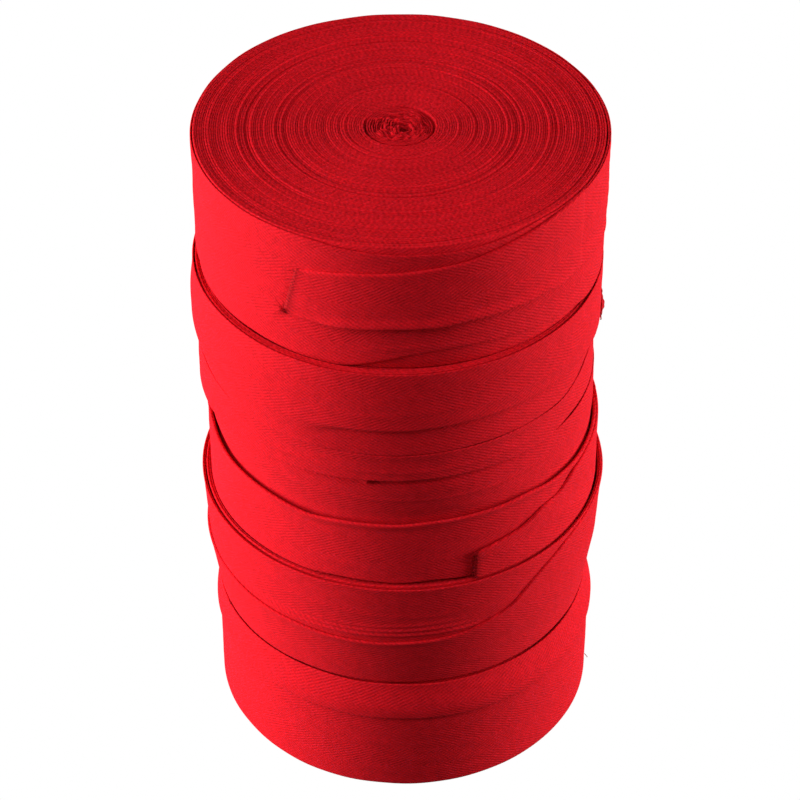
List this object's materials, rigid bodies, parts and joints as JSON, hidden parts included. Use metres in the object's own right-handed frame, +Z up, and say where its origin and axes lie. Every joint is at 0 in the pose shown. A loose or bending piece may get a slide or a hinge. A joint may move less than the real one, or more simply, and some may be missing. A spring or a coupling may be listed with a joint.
{
  "type": "hand wrap tape roll stack",
  "caption": "Column of flat-wound coreless rolls of herringbone cotton hand-wrap tape that lift apart, each with an outer turn and a free end that peels.",
  "frame": {"origin": "on the floor under the middle of the column, in the underside of the lowest roll", "axes": "+Z up the column, -Y to the front where two free ends show, +X to the right"},
  "size_m": [0.1503, 0.1517, 0.2505],
  "materials": {
    "cotton_tape": "matt woven cotton, herringbone twill"
  },
  "bodies": {
    "roll_5": {"roll_5_coil": "cotton_tape", "roll_5_centre": "cotton_tape", "roll_5_lower_turn": "cotton_tape", "roll_5_folded_turn": "cotton_tape"},
    "roll_5_end": {"roll_5_free_end": "cotton_tape"},
    "roll_4": {"roll_4_coil": "cotton_tape", "roll_4_centre": "cotton_tape", "roll_4_folded_turn": "cotton_tape", "roll_4_upper_turn": "cotton_tape"},
    "roll_4_end": {"roll_4_free_end": "cotton_tape"},
    "roll_3": {"roll_3_coil": "cotton_tape", "roll_3_centre": "cotton_tape", "roll_3_upper_turn": "cotton_tape", "roll_3_folded_turn": "cotton_tape"},
    "roll_3_end": {"roll_3_free_end": "cotton_tape"},
    "roll_2": {"roll_2_coil": "cotton_tape", "roll_2_centre": "cotton_tape", "roll_2_lower_turn": "cotton_tape", "roll_2_upper_turn": "cotton_tape"},
    "roll_2_end": {"roll_2_free_end": "cotton_tape"},
    "roll_1": {"roll_1_coil": "cotton_tape", "roll_1_centre": "cotton_tape", "roll_1_outer_turn": "cotton_tape"},
    "roll_1_end": {"roll_1_free_end": "cotton_tape"}
  },
  "joints": [
    {"name": "roll_4_lift", "type": "slide", "parent": "roll_5", "child": "roll_4", "axis": [0, 0, 1], "range_m": [0, 0.06]},
    {"name": "roll_3_lift", "type": "slide", "parent": "roll_4", "child": "roll_3", "axis": [0, 0, 1], "range_m": [0, 0.06]},
    {"name": "roll_2_lift", "type": "slide", "parent": "roll_3", "child": "roll_2", "axis": [0, 0, 1], "range_m": [0, 0.06]},
    {"name": "roll_1_lift", "type": "slide", "parent": "roll_2", "child": "roll_1", "axis": [0, 0, 1], "range_m": [0, 0.06]},
    {"name": "roll_5_end_peel", "type": "hinge", "parent": "roll_5", "child": "roll_5_end", "pos_m": [-0.04291, 0.05617, 0.04325], "axis": [0, 0, 1], "range_deg": [0, 70]},
    {"name": "roll_4_end_peel", "type": "hinge", "parent": "roll_4", "child": "roll_4_end", "pos_m": [-0.01728, 0.0733, 0.0625], "axis": [0, 0, 1], "range_deg": [0, 70]},
    {"name": "roll_3_end_peel", "type": "hinge", "parent": "roll_3", "child": "roll_3_end", "pos_m": [0.07161, 0.00804, 0.1155], "axis": [0, 0, 1], "range_deg": [0, 70]},
    {"name": "roll_2_end_peel", "type": "hinge", "parent": "roll_2", "child": "roll_2_end", "pos_m": [-0.04045, 0.0609, 0.18825], "axis": [0, 0, 1], "range_deg": [0, 70]},
    {"name": "roll_1_end_peel", "type": "hinge", "parent": "roll_1", "child": "roll_1_end", "pos_m": [0.06131, -0.03801, 0.23325], "axis": [0, 0, 1], "range_deg": [0, 70]}
  ]
}
